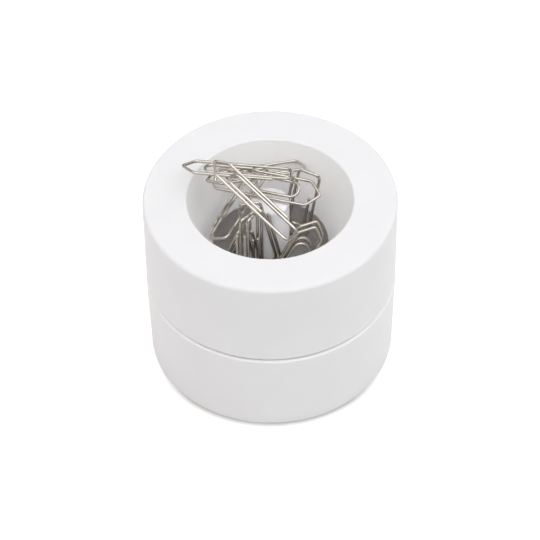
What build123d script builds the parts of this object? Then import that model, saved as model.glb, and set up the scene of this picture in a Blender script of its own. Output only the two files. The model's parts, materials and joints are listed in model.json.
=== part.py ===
from build123d import *
import os

# A round desk holder for paper clips, with a magnet in its middle post and clips clinging to it.
# Millimetres. The origin is on the table under the middle of the holder, +Z is up and -Y is the front.

# Shell. Both halves are widest at the seam, and draw in a little towards the rim and the foot.
OUTER_DIAMETER = 73.5
HEIGHT = 57.45
WALL = 2.2
SKIRT_DRAFT = 0.14
CUP_DRAFT = 0.46
SEAM_HEIGHT = 28.25
SEAM_GAP = 1.0
SEAM_STEP = 0.1
SEAM_EDGE_WIDTH = 0.75
SEAM_GROOVE_DEPTH = 1.0
RIM_EDGE_RADIUS = 1.0
SEAM_EDGE_RADIUS = 0.7
FOOT_EDGE_RADIUS = 0.3

# Funnel of the top ring
MOUTH_DIAMETER = 48.0
THROAT_DIAMETER = 33.0
FUNNEL_DEPTH = 18.9
FUNNEL_WALL = 2.0
MOUTH_EDGE_RADIUS = 0.6
THROAT_EDGE_RADIUS = 0.7

# Lip of the cup that locates the top ring, and the ribs of the ring that sit on it
LIP_HEIGHT = 5.2
LIP_WALL = 1.5
LIP_CLEARANCE = 0.1
LIP_ROOT = 4.0
SEAT_RIBS = 6
SEAT_RIB_WIDTH = 1.6

# Underside of the cup
PAD_THICKNESS = 1.0
PAD_INSET = 3.3
PAD_WIDTH = 4.0
FOOT_HEIGHT = 0.15
PLATE_THICKNESS = 2.0
PLATE_CLEARANCE = 0.15
FLOOR_THICKNESS = 2.0

# Post with its core
POST_DIAMETER = 11.0
POST_BELOW_RIM = 1.1
POST_WALL = 1.5
POST_CROWN = 1.2
POST_EDGE_RADIUS = 0.8
POST_CLEARANCE = 0.05
FLANGE_DIAMETER = 18.0
FLANGE_THICKNESS = 2.0
CORE_CLEARANCE = 0.1
MAGNET_LENGTH = 12.0

# Screws of the base plate
SCREWS = 3
SCREW_INSET = 4.0
SCREW_DIAMETER = 2.4
SCREW_HEAD_DIAMETER = 4.4
SCREW_CLEARANCE = 0.1
SCREW_SKIN = 1.0
BOSS_DIAMETER = 6.0
RECESS_LENGTH = 2.4
RECESS_WIDTH = 0.5
RECESS_DEPTH = 0.6

# Paper clips
WIRE_DIAMETER = 0.9
CLIP_LENGTH = 32.0
CLIP_WIDTH = 8.6
CLIP_ROOF = 3.6
CLIP_INNER_SETBACK = 6.6
CLIP_OUTER_LEG_SHORT = 5.0
CLIP_INNER_LEG_SHORT = 11.0
CLIP_SQUARE_STEP = 1.3
CLIP_INNER_STEP = 1.7
WIRE_EDGE_RADIUS = 0.12

# Radii and heights that follow from the sizes above
outer_radius = OUTER_DIAMETER / 2
ring_radius = outer_radius - SEAM_STEP
rim_radius = ring_radius - SKIRT_DRAFT
foot_radius = outer_radius - CUP_DRAFT
shell_inner_radius = outer_radius - WALL
mouth_radius = MOUTH_DIAMETER / 2
throat_radius = THROAT_DIAMETER / 2
throat_height = HEIGHT - FUNNEL_DEPTH
rim_underside = HEIGHT - WALL
lip_outer_radius = shell_inner_radius - LIP_CLEARANCE
lip_inner_radius = lip_outer_radius - LIP_WALL
lip_top = SEAM_HEIGHT + LIP_HEIGHT
pad_outer_radius = shell_inner_radius - PAD_INSET
pad_inner_radius = pad_outer_radius - PAD_WIDTH
plate_top = PAD_THICKNESS + PLATE_THICKNESS
floor_bottom = plate_top + FLANGE_THICKNESS
floor_top = floor_bottom + FLOOR_THICKNESS
post_radius = POST_DIAMETER / 2
post_top = HEIGHT - POST_BELOW_RIM
bore_radius = post_radius - POST_WALL
bore_top = post_top - POST_CROWN
core_radius = bore_radius - CORE_CLEARANCE
magnet_bottom = bore_top - MAGNET_LENGTH
screw_circle_radius = pad_inner_radius - SCREW_INSET
screw_radius = SCREW_DIAMETER / 2
screw_head_radius = SCREW_HEAD_DIAMETER / 2
screw_tip = floor_top - SCREW_SKIN

os.makedirs("parts", exist_ok=True)


def save(piece, name):
    piece.part.label = name
    export_step(piece.part, f"parts/{name}.step")


# Top ring: a skirt, a flat rim and a funnel down to the throat
funnel_slope = (mouth_radius - throat_radius) / FUNNEL_DEPTH
funnel_wall_across = FUNNEL_WALL * (1 + funnel_slope**2) ** 0.5
funnel_back_radius = throat_radius + funnel_wall_across
with BuildPart() as top_ring:
    with BuildSketch(Plane.XZ):
        with BuildLine():
            FilletPolyline(
                (ring_radius, SEAM_HEIGHT + SEAM_GAP),
                (rim_radius, HEIGHT),
                (mouth_radius, HEIGHT),
                (throat_radius, throat_height),
                (funnel_back_radius, throat_height),
                (funnel_back_radius + (FUNNEL_DEPTH - WALL) * funnel_slope, rim_underside),
                (shell_inner_radius, rim_underside),
                (shell_inner_radius, SEAM_HEIGHT + SEAM_GAP),
                radius=[0, RIM_EDGE_RADIUS, MOUTH_EDGE_RADIUS, THROAT_EDGE_RADIUS, 0, 0, 0, 0],
                close=True,
            )
        make_face()
    revolve(axis=Axis.Z)
    with BuildSketch(Plane.XY.offset(lip_top)):
        with PolarLocations((lip_inner_radius + shell_inner_radius + WALL / 2) / 2, SEAT_RIBS):
            Rectangle(shell_inner_radius + WALL / 2 - lip_inner_radius, SEAT_RIB_WIDTH)
    extrude(amount=rim_underside + WALL / 2 - lip_top)
save(top_ring, "top_ring")

# Base cup: a wall, a floor for the post, and a lip that the top ring sits on.
# A groove outside the lip makes the seam a dark line.
lip_root = SEAM_HEIGHT - LIP_ROOT
lip_taper = shell_inner_radius - lip_inner_radius
post_hole_radius = post_radius + POST_CLEARANCE
with BuildPart() as base_cup:
    with BuildSketch(Plane.XZ):
        with BuildLine():
            FilletPolyline(
                (foot_radius, FOOT_HEIGHT),
                (outer_radius, SEAM_HEIGHT),
                (outer_radius - SEAM_EDGE_WIDTH, SEAM_HEIGHT),
                (outer_radius - SEAM_EDGE_WIDTH, SEAM_HEIGHT - SEAM_GROOVE_DEPTH),
                (lip_outer_radius, SEAM_HEIGHT - SEAM_GROOVE_DEPTH),
                (lip_outer_radius, lip_top),
                (lip_inner_radius, lip_top),
                (lip_inner_radius, lip_root),
                (shell_inner_radius, lip_root - lip_taper),
                (shell_inner_radius, floor_top),
                (post_hole_radius, floor_top),
                (post_hole_radius, floor_bottom),
                (shell_inner_radius, floor_bottom),
                (shell_inner_radius, FOOT_HEIGHT),
                radius=[FOOT_EDGE_RADIUS, SEAM_EDGE_RADIUS, 0, 0, 0, 0, 0, 0, 0, 0, 0, 0, 0, 0],
                close=True,
            )
        make_face()
    revolve(axis=Axis.Z)
    with BuildSketch(Plane.XY.offset(plate_top)):
        with PolarLocations(screw_circle_radius, SCREWS):
            Circle(BOSS_DIAMETER / 2)
    extrude(amount=FLANGE_THICKNESS)
    with BuildSketch(Plane.XY.offset(plate_top)):
        with PolarLocations(screw_circle_radius, SCREWS):
            Circle(screw_radius + SCREW_CLEARANCE / 2)
    extrude(amount=screw_tip + SCREW_CLEARANCE - plate_top, mode=Mode.SUBTRACT)
save(base_cup, "base_cup")

# Base plate: a steel disc that closes the cup from below and weighs it down
with BuildPart() as base_plate:
    with BuildSketch(Plane.XY.offset(PAD_THICKNESS)):
        Circle(shell_inner_radius - PLATE_CLEARANCE)
    extrude(amount=PLATE_THICKNESS)
    with Locations(Plane(origin=(0, 0, PAD_THICKNESS), x_dir=(1, 0, 0), z_dir=(0, 0, -1))):
        with PolarLocations(screw_circle_radius, SCREWS):
            CounterSinkHole(
                radius=screw_radius + SCREW_CLEARANCE,
                counter_sink_radius=screw_head_radius + SCREW_CLEARANCE,
                counter_sink_angle=90,
            )
save(base_plate, "base_plate")

# Base screws: countersunk, flush with the underside of the plate
head_height = screw_head_radius - screw_radius
with BuildPart() as base_screws:
    with BuildSketch(Plane.XY.offset(PAD_THICKNESS)):
        with PolarLocations(screw_circle_radius, SCREWS):
            Circle(screw_head_radius)
    extrude(amount=head_height, taper=45)
    with BuildSketch(Plane.XY.offset(PAD_THICKNESS)):
        with PolarLocations(screw_circle_radius, SCREWS):
            Circle(screw_radius)
    extrude(amount=screw_tip - PAD_THICKNESS)
    with BuildSketch(Plane.XY.offset(PAD_THICKNESS)):
        with PolarLocations(screw_circle_radius, SCREWS):
            Rectangle(RECESS_LENGTH, RECESS_WIDTH)
            Rectangle(RECESS_WIDTH, RECESS_LENGTH)
    extrude(amount=RECESS_DEPTH, mode=Mode.SUBTRACT)
save(base_screws, "base_screws")

# Non-slip pad: a ring under the plate that stands on the table
with BuildPart() as non_slip_pad:
    with BuildSketch(Plane.XY):
        Circle(pad_outer_radius)
        Circle(pad_inner_radius, mode=Mode.SUBTRACT)
    extrude(amount=PAD_THICKNESS)
save(non_slip_pad, "non_slip_pad")

# Post sleeve: a closed tube whose flange is held between the floor and the plate
with BuildPart() as post_sleeve:
    with BuildSketch(Plane.XZ):
        with BuildLine():
            FilletPolyline(
                (bore_radius, plate_top),
                (FLANGE_DIAMETER / 2, plate_top),
                (FLANGE_DIAMETER / 2, floor_bottom),
                (post_radius, floor_bottom),
                (post_radius, post_top),
                (0, post_top),
                (0, bore_top),
                (bore_radius, bore_top),
                radius=[0, 0, 0, 0, POST_EDGE_RADIUS, 0, 0, 0],
                close=True,
            )
        make_face()
    revolve(axis=Axis.Z)
save(post_sleeve, "post_sleeve")

# Magnet: right under the crown of the post
with BuildPart() as magnet:
    with BuildSketch(Plane.XY.offset(magnet_bottom)):
        Circle(core_radius)
    extrude(amount=MAGNET_LENGTH)
save(magnet, "magnet")

# Core rod: steel, from the plate up to the magnet
with BuildPart() as core_rod:
    with BuildSketch(Plane.XY.offset(plate_top)):
        Circle(core_radius)
    extrude(amount=magnet_bottom - plate_top)
save(core_rod, "core_rod")


# Paper clip: one wire bent to a pointed end, a square end and a round inner loop
end = CLIP_LENGTH / 2 - WIRE_DIAMETER / 2
side = CLIP_WIDTH / 2 - WIRE_DIAMETER / 2
CLIP_BENDS = [
    (-end + CLIP_OUTER_LEG_SHORT, side),
    (end - CLIP_ROOF, side),
    (end, 0),
    (end - CLIP_ROOF, -side),
    (-end, -side),
    (-end, side - CLIP_SQUARE_STEP),
    (end - CLIP_INNER_SETBACK, side - CLIP_SQUARE_STEP),
    (end - CLIP_INNER_SETBACK, -side + CLIP_INNER_STEP),
    (-end + CLIP_INNER_LEG_SHORT, -side + CLIP_INNER_STEP),
]
CLIP_BEND_RADII = [2.0, 0.9, 2.0, 1.6, 1.6, 2.2, 2.2]


def paper_clip(name, centre, heading, pitch, roll):
    """A clip whose pointed end looks along its heading, tipped up by its pitch, then rolled on that line."""
    clip_plane = Plane(origin=centre).rotated((heading, -pitch, roll), Intrinsic.ZYX)
    with BuildPart() as clip:
        with BuildLine(clip_plane) as wire:
            FilletPolyline(*CLIP_BENDS, radius=CLIP_BEND_RADII)
        with BuildSketch(Plane(origin=wire.line @ 0, z_dir=wire.line % 0)):
            Circle(WIRE_DIAMETER / 2)
        sweep()
        cut_ends = clip.faces().filter_by(GeomType.PLANE)
        fillet(cut_ends.edges(), radius=WIRE_EDGE_RADIUS)
    save(clip, name)


# Clips lying across the top of the post, the highest first. Heights go with the post's top.
paper_clip("paper_clip_on_top", (-4.6, -6.3, post_top + 7.3), heading=141, pitch=23, roll=198)
paper_clip("paper_clip_over_rim", (-9.5, 5.6, post_top + 6.6), heading=175, pitch=3, roll=19)
paper_clip("paper_clip_across_post", (-0.5, 3.8, post_top + 2.1), heading=-17, pitch=1, roll=20)
paper_clip("paper_clip_at_back", (-4.3, 10.9, post_top + 0.2), heading=204, pitch=12, roll=19)
paper_clip("paper_clip_at_left", (-8.8, 4.8, post_top - 5.1), heading=64, pitch=3, roll=-25)

# Clips standing in the throat around the post
paper_clip("paper_clip_upright_right", (8.8, 7.4, post_top - 9.8), heading=139, pitch=-80, roll=70)
paper_clip("paper_clip_upright_front", (-2.4, -6.3, post_top - 10.1), heading=0, pitch=-79, roll=90)
paper_clip("paper_clip_upright_left", (-6.6, -10.0, post_top - 11.9), heading=0, pitch=-90, roll=-132)
paper_clip("paper_clip_upright_middle", (-4.9, -10.7, post_top - 10.9), heading=0, pitch=-90, roll=-142)
paper_clip("paper_clip_leaning_inner", (5.9, -7.4, post_top - 18.2), heading=26, pitch=58, roll=70)
paper_clip("paper_clip_leaning_outer", (5.5, -8.9, post_top - 19.0), heading=26, pitch=58, roll=70)
paper_clip("paper_clip_leaning_left", (-13.0, -4.0, post_top - 21.9), heading=36, pitch=57, roll=-68)
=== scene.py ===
import json
import math

import bpy
from mathutils import Matrix, Vector

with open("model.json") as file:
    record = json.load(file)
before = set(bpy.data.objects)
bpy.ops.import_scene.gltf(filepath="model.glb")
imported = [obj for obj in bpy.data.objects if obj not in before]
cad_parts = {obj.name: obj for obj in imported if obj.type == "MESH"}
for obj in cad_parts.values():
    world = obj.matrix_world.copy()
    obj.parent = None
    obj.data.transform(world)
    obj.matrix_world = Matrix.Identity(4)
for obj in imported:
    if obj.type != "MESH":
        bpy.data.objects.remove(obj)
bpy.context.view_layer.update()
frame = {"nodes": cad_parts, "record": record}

# Metres, in the frame of the part: +Z is up and the camera looks along +Y, down onto the rim.

# Camera that sees the holder as the photograph does, with its sensor and lens in millimetres
CAMERA_TARGET = Vector((-0.0003, 0.0, 0.027))
CAMERA_DISTANCE = 0.6886
CAMERA_ELEVATION = math.radians(47.17)
CAMERA_ROLL = math.radians(-0.79)
CAMERA_SENSOR = 36.0
CAMERA_LENS = 155.7

# Light. A white tent surrounds the holder. It brightens from a dark skirt between two heights, each the sine
# of an elevation. A softbox's level is how bright it alone shows a white surface that faces it.
TENT_LEVEL = 0.8
SKIRT_LEVEL = 0.1
SKIRT_HEIGHT = (0.1, 0.6)
SOFTBOX_DISTANCE = 1.8
WHITE = (1.0, 1.0, 1.0)
WARM = (1.0, 0.84, 0.68)
SOFTBOXES = {
    "softbox_front": {"azimuth": 0, "elevation": 64, "size": 1.8, "level": 0.28, "colour": WHITE},
    "softbox_right": {"azimuth": 90, "elevation": 56, "size": 1.5, "level": 0.2, "colour": WHITE},
    "softbox_left": {"azimuth": -80, "elevation": 56, "size": 1.1, "level": 0.09, "colour": WARM},
}
DIFFUSE_BOUNCES = 12

# Floor. Within reach of the foot it is shaded, from not at all at the sides to fully at the front and back,
# between two distances from the middle. The openness is the share of open sky right at the foot.
FLOOR_SIZE = 6.0
FLOOR_COLOUR = (0.9, 0.89, 0.88)
FLOOR_ROUGHNESS = 0.9
FLOOR_GLOW = 0.45
CONTACT_REACH = 0.0032
CONTACT_OPENNESS = 0.5
CONTACT_SHADE = 0.4
CONTACT_ENDS = (0.008, 0.028)

# Zones of painted light on the mouldings: the radii within which the funnel and the cup's hollow are painted
# lighter (painted light), and the height above which the cup's rounded top is painted lighter (painted
# highlight)
PAINTED_LIGHT_MOUTH_RADIUS = 0.0242
PAINTED_LIGHT_CUP_RADIUS = 0.0352
CUP_PAINTED_HIGHLIGHT_HEIGHT = 0.0275
RADIUS_BLEND = 0.0006
HEIGHT_BLEND = 0.0002

# Plastic, with the depth that light soaks in
PLASTIC_IOR = 1.47
PLASTIC_SPECULAR = 0.25
PLASTIC_DEPTH = 0.0004

# Stretches of a pattern's values over which a surface changes, and how rough the noise patterns are
PATTERN_SPAN = (0.3, 0.7)
PORE_SPAN = (0.1, 0.6)
NOISE_ROUGHNESS = 0.55

# Colours, each as the two ends of a faint mottling
SHELL_WHITE = (0.764, 0.765, 0.784), (0.784, 0.785, 0.804)
# Painted light: the funnel within the mouth, painted far lighter than the rest of the same moulding
FUNNEL_PAINTED_LIGHT_WHITE = (0.953, 0.958, 0.975), (0.973, 0.978, 0.993)
# Painted light: the cup's hollow, painted lighter and warmer to lift and tint its shade
CUP_INNER_PAINTED_LIGHT_WHITE = (0.955, 0.925, 0.905), (0.97, 0.94, 0.92)
# Painted highlight: a lighter band on the cup's rounded top, below the seam
CUP_EDGE_PAINTED_HIGHLIGHT_WHITE = (0.865, 0.865, 0.88), (0.885, 0.885, 0.9)
POST_WHITE = (0.89, 0.885, 0.91), (0.91, 0.905, 0.93)
WIRE_NICKEL = (0.5, 0.468, 0.425), (0.6, 0.565, 0.515)
MAGNET_NICKEL = (0.66, 0.66, 0.66), (0.74, 0.73, 0.71)
STEEL_ZINC = (0.52, 0.54, 0.56), (0.62, 0.63, 0.64)
PAD_BLACK = (0.05, 0.05, 0.052), (0.12, 0.12, 0.122)


def feed(tree, socket, value):
    """Gives an input a constant or another node's output."""
    if isinstance(value, bpy.types.NodeSocket):
        tree.links.new(value, socket)
    else:
        socket.default_value = value


def add_math(tree, operation, first, second=0.0):
    """The result of an operation on one or two numbers."""
    node = tree.nodes.new("ShaderNodeMath")
    node.operation = operation
    feed(tree, node.inputs[0], first)
    feed(tree, node.inputs[1], second)
    return node.outputs["Value"]


def add_range(tree, value, start, end, low, high):
    """Numbers from low to high, as the value goes from start to end."""
    node = tree.nodes.new("ShaderNodeMapRange")
    feed(tree, node.inputs["Value"], value)
    feed(tree, node.inputs["From Min"], start)
    feed(tree, node.inputs["From Max"], end)
    feed(tree, node.inputs["To Min"], low)
    feed(tree, node.inputs["To Max"], high)
    return node.outputs["Result"]


def add_split(tree, vector):
    """The X, Y and Z of a vector."""
    node = tree.nodes.new("ShaderNodeSeparateXYZ")
    feed(tree, node.inputs["Vector"], vector)
    return node.outputs


def add_noise(tree, place, scale, detail=3.0):
    """A noise pattern with the given number of waves per metre."""
    node = tree.nodes.new("ShaderNodeTexNoise")
    feed(tree, node.inputs["Vector"], place)
    feed(tree, node.inputs["Scale"], scale)
    feed(tree, node.inputs["Detail"], detail)
    feed(tree, node.inputs["Roughness"], NOISE_ROUGHNESS)
    return node.outputs["Fac"]


def add_colours(tree, pattern, colours, span=PATTERN_SPAN):
    """Colours between two, following the pattern."""
    node = tree.nodes.new("ShaderNodeValToRGB")
    for stop, position, colour in zip(node.color_ramp.elements, span, colours):
        stop.position = position
        stop.color = (*colour, 1.0)
    feed(tree, node.inputs["Fac"], pattern)
    return node.outputs["Color"]


def add_mix(tree, factor, first, second):
    """One colour where the factor is 0, and another where it is 1."""
    node = tree.nodes.new("ShaderNodeMix")
    node.data_type = "RGBA"
    feed(tree, node.inputs["Factor"], factor)
    feed(tree, node.inputs["A"], first)
    feed(tree, node.inputs["B"], second)
    return node.outputs["Result"]


def add_within(tree, place, radius):
    """A factor that is 1 within the radius around the post's axis, and 0 outside it."""
    flat = tree.nodes.new("ShaderNodeVectorMath")
    flat.operation = "MULTIPLY"
    feed(tree, flat.inputs[0], place)
    feed(tree, flat.inputs[1], (1.0, 1.0, 0.0))
    length = tree.nodes.new("ShaderNodeVectorMath")
    length.operation = "LENGTH"
    feed(tree, length.inputs[0], flat.outputs["Vector"])
    return add_range(tree, length.outputs["Value"], radius, radius - RADIUS_BLEND, 0.0, 1.0)


def add_above(tree, place, height):
    """A factor that is 1 above the height, and 0 below it."""
    return add_range(tree, add_split(tree, place)["Z"], height, height + HEIGHT_BLEND, 0.0, 1.0)


def add_bump(tree, shader, pattern, depth):
    """Raises the surface by at most depth metres where the pattern is high."""
    node = tree.nodes.new("ShaderNodeBump")
    feed(tree, node.inputs["Strength"], 1.0)
    feed(tree, node.inputs["Distance"], depth)
    feed(tree, node.inputs["Height"], pattern)
    feed(tree, shader.inputs["Normal"], node.outputs["Normal"])


def new_material(name):
    """A material, its node tree and Principled shader, and object coordinates for its patterns."""
    material = bpy.data.materials.new(name)
    material.use_nodes = True
    tree = material.node_tree
    place = tree.nodes.new("ShaderNodeTexCoord").outputs["Object"]
    return material, tree, tree.nodes["Principled BSDF"], place


def moulded_plastic(name, colours, painted_light_inside=None, radius=None, painted_highlight_edge=None, height=None):
    """Satin injection-moulded plastic: faint cloudiness, a fine spark-eroded grain, and optional painted
    light within a radius and painted highlight above a height.
    """
    material, tree, shader, place = new_material(name)
    cloud = add_noise(tree, place, scale=90.0)
    grain = add_noise(tree, place, scale=2600.0, detail=2.0)
    colour = add_colours(tree, cloud, colours)
    # Painted highlight: a lighter colour above the height
    if painted_highlight_edge:
        colour = add_mix(tree, add_above(tree, place, height), colour, add_colours(tree, cloud, painted_highlight_edge))
    # Painted light: a lighter colour within the radius
    if painted_light_inside:
        colour = add_mix(tree, add_within(tree, place, radius), colour, add_colours(tree, cloud, painted_light_inside))
    feed(tree, shader.inputs["Base Color"], colour)
    feed(tree, shader.inputs["Roughness"], add_range(tree, cloud, *PATTERN_SPAN, low=0.42, high=0.5))
    feed(tree, shader.inputs["IOR"], PLASTIC_IOR)
    feed(tree, shader.inputs["Specular IOR Level"], PLASTIC_SPECULAR)
    feed(tree, shader.inputs["Subsurface Weight"], 1.0)
    feed(tree, shader.inputs["Subsurface Radius"], (1.0, 1.0, 1.0))
    feed(tree, shader.inputs["Subsurface Scale"], PLASTIC_DEPTH)
    add_bump(tree, shader, grain, depth=0.00001)
    return material


def plated_wire(name, colours):
    """Bright nickel plate on drawn wire: slightly warm, with faint dulling from handling."""
    material, tree, shader, place = new_material(name)
    handling = add_noise(tree, place, scale=420.0)
    drawing = add_noise(tree, place, scale=5200.0, detail=2.0)
    feed(tree, shader.inputs["Base Color"], add_colours(tree, handling, colours))
    feed(tree, shader.inputs["Roughness"], add_range(tree, handling, *PATTERN_SPAN, low=0.05, high=0.1))
    feed(tree, shader.inputs["Metallic"], 1.0)
    add_bump(tree, shader, drawing, depth=0.000004)
    return material


def plated_steel(name, colours, roughest):
    """Zinc or nickel plate on turned or stamped steel, with a cloudy sheen."""
    material, tree, shader, place = new_material(name)
    cloud = add_noise(tree, place, scale=160.0, detail=5.0)
    scratches = add_noise(tree, place, scale=3000.0)
    feed(tree, shader.inputs["Base Color"], add_colours(tree, cloud, colours))
    feed(tree, shader.inputs["Roughness"], add_range(tree, cloud, *PATTERN_SPAN, low=0.28, high=roughest))
    feed(tree, shader.inputs["Metallic"], 1.0)
    add_bump(tree, shader, scratches, depth=0.000008)
    return material


def foam_rubber(name, colours):
    """Matt foam rubber with open pores."""
    material, tree, shader, place = new_material(name)
    pores = tree.nodes.new("ShaderNodeTexVoronoi")
    feed(tree, pores.inputs["Vector"], place)
    feed(tree, pores.inputs["Scale"], 1400.0)
    # Painted shade: the pad is darker in the pore hollows, where the bump is low
    pore_depth_and_painted_shade = pores.outputs["Distance"]
    feed(tree, shader.inputs["Base Color"], add_colours(tree, pore_depth_and_painted_shade, colours, span=PORE_SPAN))
    feed(tree, shader.inputs["Roughness"], 0.85)
    add_bump(tree, shader, pore_depth_and_painted_shade, depth=0.00012)
    return material


def dress_nodes():
    """Gives each CAD node the material of its slot; the cup has one of its own. The shell's funnel and the
    cup's hollow are painted lighter (painted light), and the cup's rounded top has a painted highlight.
    """
    materials = {
        # Painted light: the shell's funnel within the mouth is painted lighter than its outside
        "shell": moulded_plastic("shell", SHELL_WHITE, painted_light_inside=FUNNEL_PAINTED_LIGHT_WHITE, radius=PAINTED_LIGHT_MOUTH_RADIUS),
        # Painted light and highlight: the cup's hollow is painted lighter and warmer, and its rounded top
        # lighter
        "base_cup": moulded_plastic(
            "base_cup", SHELL_WHITE, painted_light_inside=CUP_INNER_PAINTED_LIGHT_WHITE, radius=PAINTED_LIGHT_CUP_RADIUS,
            painted_highlight_edge=CUP_EDGE_PAINTED_HIGHLIGHT_WHITE, height=CUP_PAINTED_HIGHLIGHT_HEIGHT,
        ),
        "post": moulded_plastic("post", POST_WHITE),
        "clip_wire": plated_wire("clip_wire", WIRE_NICKEL),
        "magnet": plated_steel("magnet", MAGNET_NICKEL, roughest=0.32),
        "steel": plated_steel("steel", STEEL_ZINC, roughest=0.45),
        "pad": foam_rubber("pad", PAD_BLACK),
    }
    slots = {row["node"]: row["material_slot"] for row in frame["record"]["subparts"]}
    for name, node in frame["nodes"].items():
        node.data.materials.clear()
        node.data.materials.append(materials.get(name, materials[slots[name]]))


def add_contact_shade(tree, place):
    """How light the table is: 1 away from the foot, and less close to its front and back."""
    nearness = tree.nodes.new("ShaderNodeAmbientOcclusion")
    feed(tree, nearness.inputs["Distance"], CONTACT_REACH)
    outward = add_math(tree, "ABSOLUTE", add_split(tree, place)["Y"])
    darkest = add_range(tree, outward, *CONTACT_ENDS, low=1.0, high=CONTACT_SHADE)
    return add_range(tree, nearness.outputs["AO"], CONTACT_OPENNESS, 1.0, darkest, 1.0)


def white_table():
    """A table top that keeps the holder's shadow and shows white in the picture and in the metal."""
    material, tree, shader, place = new_material("white_table")
    path = tree.nodes.new("ShaderNodeLightPath")
    seen = add_math(tree, "MAXIMUM", path.outputs["Is Camera Ray"], path.outputs["Is Glossy Ray"])
    shade = add_contact_shade(tree, place)
    shown = add_range(tree, seen, 0.0, 1.0, 1.0, shade)
    colour = add_mix(tree, shown, (0.0, 0.0, 0.0, 1.0), (*FLOOR_COLOUR, 1.0))
    feed(tree, shader.inputs["Base Color"], colour)
    feed(tree, shader.inputs["Roughness"], FLOOR_ROUGHNESS)
    feed(tree, shader.inputs["Specular IOR Level"], 0.0)
    glow = tree.nodes.new("ShaderNodeEmission")
    feed(tree, glow.inputs["Color"], shade)
    feed(tree, glow.inputs["Strength"], add_math(tree, "MULTIPLY", seen, FLOOR_GLOW))
    both = tree.nodes.new("ShaderNodeAddShader")
    feed(tree, both.inputs[0], shader.outputs["BSDF"])
    feed(tree, both.inputs[1], glow.outputs["Emission"])
    feed(tree, tree.nodes["Material Output"].inputs["Surface"], both.outputs["Shader"])
    return material


def add_floor():
    """The table under the holder, which isn't part of it."""
    bpy.ops.mesh.primitive_plane_add(size=FLOOR_SIZE)
    floor = bpy.context.object
    floor.name = "floor"
    floor.data.materials.append(white_table())


def add_softbox(name, azimuth, elevation, size, level, colour):
    """A square lamp that looks at the holder, with the power that its level takes at its distance.

    Azimuth 0 is the camera's side, and 90 is the right.
    """
    azimuth, elevation = math.radians(azimuth), math.radians(elevation)
    direction = Vector((
        math.sin(azimuth) * math.cos(elevation),
        -math.cos(azimuth) * math.cos(elevation),
        math.sin(elevation),
    ))
    lamp = bpy.data.lights.new(name, "AREA")
    lamp.shape = "SQUARE"
    lamp.size = size
    lamp.color = colour
    lamp.energy = level * math.pi ** 2 * (SOFTBOX_DISTANCE ** 2 + size ** 2 / math.pi)
    box = bpy.data.objects.new(name, lamp)
    box.location = CAMERA_TARGET + SOFTBOX_DISTANCE * direction
    box.rotation_euler = direction.to_track_quat("Z", "Y").to_euler()
    bpy.context.scene.collection.objects.link(box)


def add_light():
    """The tent, as the world, and the softboxes."""
    world = bpy.data.worlds.new("studio")
    world.use_nodes = True
    tree = world.node_tree
    direction = tree.nodes.new("ShaderNodeTexCoord").outputs["Generated"]
    level = add_range(tree, add_split(tree, direction)["Z"], *SKIRT_HEIGHT, low=SKIRT_LEVEL, high=TENT_LEVEL)
    background = tree.nodes["Background"]
    feed(tree, background.inputs["Color"], (*WHITE, 1.0))
    feed(tree, background.inputs["Strength"], level)
    bpy.context.scene.world = world
    for name, values in SOFTBOXES.items():
        add_softbox(name, **values)
    bpy.context.scene.cycles.diffuse_bounces = DIFFUSE_BOUNCES


def add_camera():
    """The photograph's camera, which looks at its target from the front and above."""
    back = Vector((0.0, -math.cos(CAMERA_ELEVATION), math.sin(CAMERA_ELEVATION)))
    data = bpy.data.cameras.new("camera")
    data.sensor_width = CAMERA_SENSOR
    data.lens = CAMERA_LENS
    camera = bpy.data.objects.new("camera", data)
    tilt = Matrix.Rotation(math.pi / 2 - CAMERA_ELEVATION, 4, "X")
    roll = Matrix.Rotation(CAMERA_ROLL, 4, "Z")
    place = Matrix.Translation(CAMERA_TARGET + CAMERA_DISTANCE * back)
    camera.matrix_world = place @ tilt @ roll
    bpy.context.scene.collection.objects.link(camera)
    bpy.context.scene.camera = camera


dress_nodes()
add_floor()
add_light()
add_camera()
bpy.context.scene.view_settings.view_transform = "Standard"
